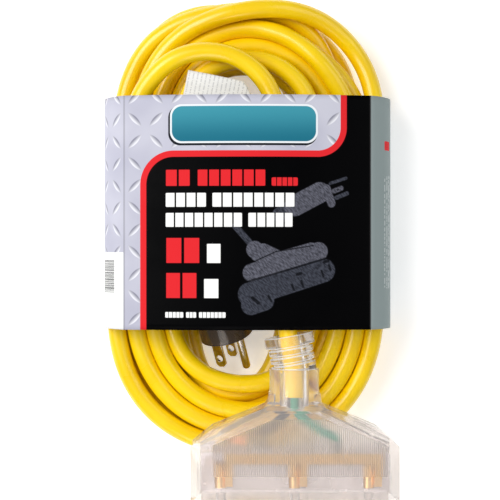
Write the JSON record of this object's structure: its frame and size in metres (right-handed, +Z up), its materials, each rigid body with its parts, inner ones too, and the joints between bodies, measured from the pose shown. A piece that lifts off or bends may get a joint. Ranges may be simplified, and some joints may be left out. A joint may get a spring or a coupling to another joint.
{
  "type": "extension cord",
  "caption": "Coiled heavy-duty extension cord with a clear multi-outlet block, a three-prong plug and a slide-off printed card sleeve.",
  "frame": {"origin": "middle of the sleeve's flat back panel, on the surface that the coiled cord lies on", "axes": "+Z up from the surface, +Y along the coil towards its top loops, away from the outlet block, +X to the right seen from above"},
  "size_m": [0.1615, 0.2744, 0.064],
  "materials": {
    "clear_moulding": "clear soft plastic, slightly milky",
    "clear_face": "clear rigid plastic",
    "carrier_plastic": "milky rigid plastic",
    "brass_strip": "bright stamped brass",
    "tinned_terminal": "tinned crimp",
    "green_insulation": "extruded insulation",
    "black_insulation": "extruded insulation",
    "white_insulation": "extruded insulation",
    "lamp_glass": "small clear lamp capsule",
    "resistor_coat": "tan resistor coating",
    "smoke_moulding": "smoky clear soft plastic",
    "bridge_plastic": "dark rigid plastic",
    "prong_metal": "plated brass prongs",
    "yellow_jacket": "satin yellow cord jacket",
    "tag_paper": "white folded paper",
    "printed_card": "gloss printed card"
  },
  "bodies": {
    "cord_set": {"tap_housing": "clear_moulding", "tap_strain_relief": "clear_moulding", "tap_face": "clear_face", "tap_contact_carrier": "carrier_plastic", "line_bus": "brass_strip", "neutral_bus": "brass_strip", "ground_bus": "brass_strip", "line_contact_1": "brass_strip", "neutral_contact_1": "brass_strip", "ground_contact_1": "brass_strip", "line_contact_2": "brass_strip", "neutral_contact_2": "brass_strip", "ground_contact_2": "brass_strip", "line_contact_3": "brass_strip", "neutral_contact_3": "brass_strip", "ground_contact_3": "brass_strip", "ground_terminal": "tinned_terminal", "line_terminal": "tinned_terminal", "neutral_terminal": "tinned_terminal", "tap_green_wire": "green_insulation", "tap_black_wire": "black_insulation", "tap_white_wire": "white_insulation", "tap_lamp": "lamp_glass", "tap_lamp_resistor": "resistor_coat", "plug_body": "smoke_moulding", "plug_bridge": "bridge_plastic", "line_blade": "prong_metal", "neutral_blade": "prong_metal", "ground_pin": "prong_metal", "plug_strain_relief": "smoke_moulding", "plug_green_wire": "green_insulation", "plug_black_wire": "black_insulation", "plug_white_wire": "white_insulation", "plug_lamp": "lamp_glass", "plug_lamp_resistor": "resistor_coat", "cord_coil": "yellow_jacket", "tap_lead": "yellow_jacket", "plug_lead": "yellow_jacket", "cord_tag": "tag_paper"},
    "sleeve": {"sleeve_card": "printed_card"}
  },
  "joints": [
    {"name": "sleeve_slide", "type": "slide", "parent": "cord_set", "child": "sleeve", "axis": [0, 1, 0], "range_m": [0, 0.185]}
  ]
}
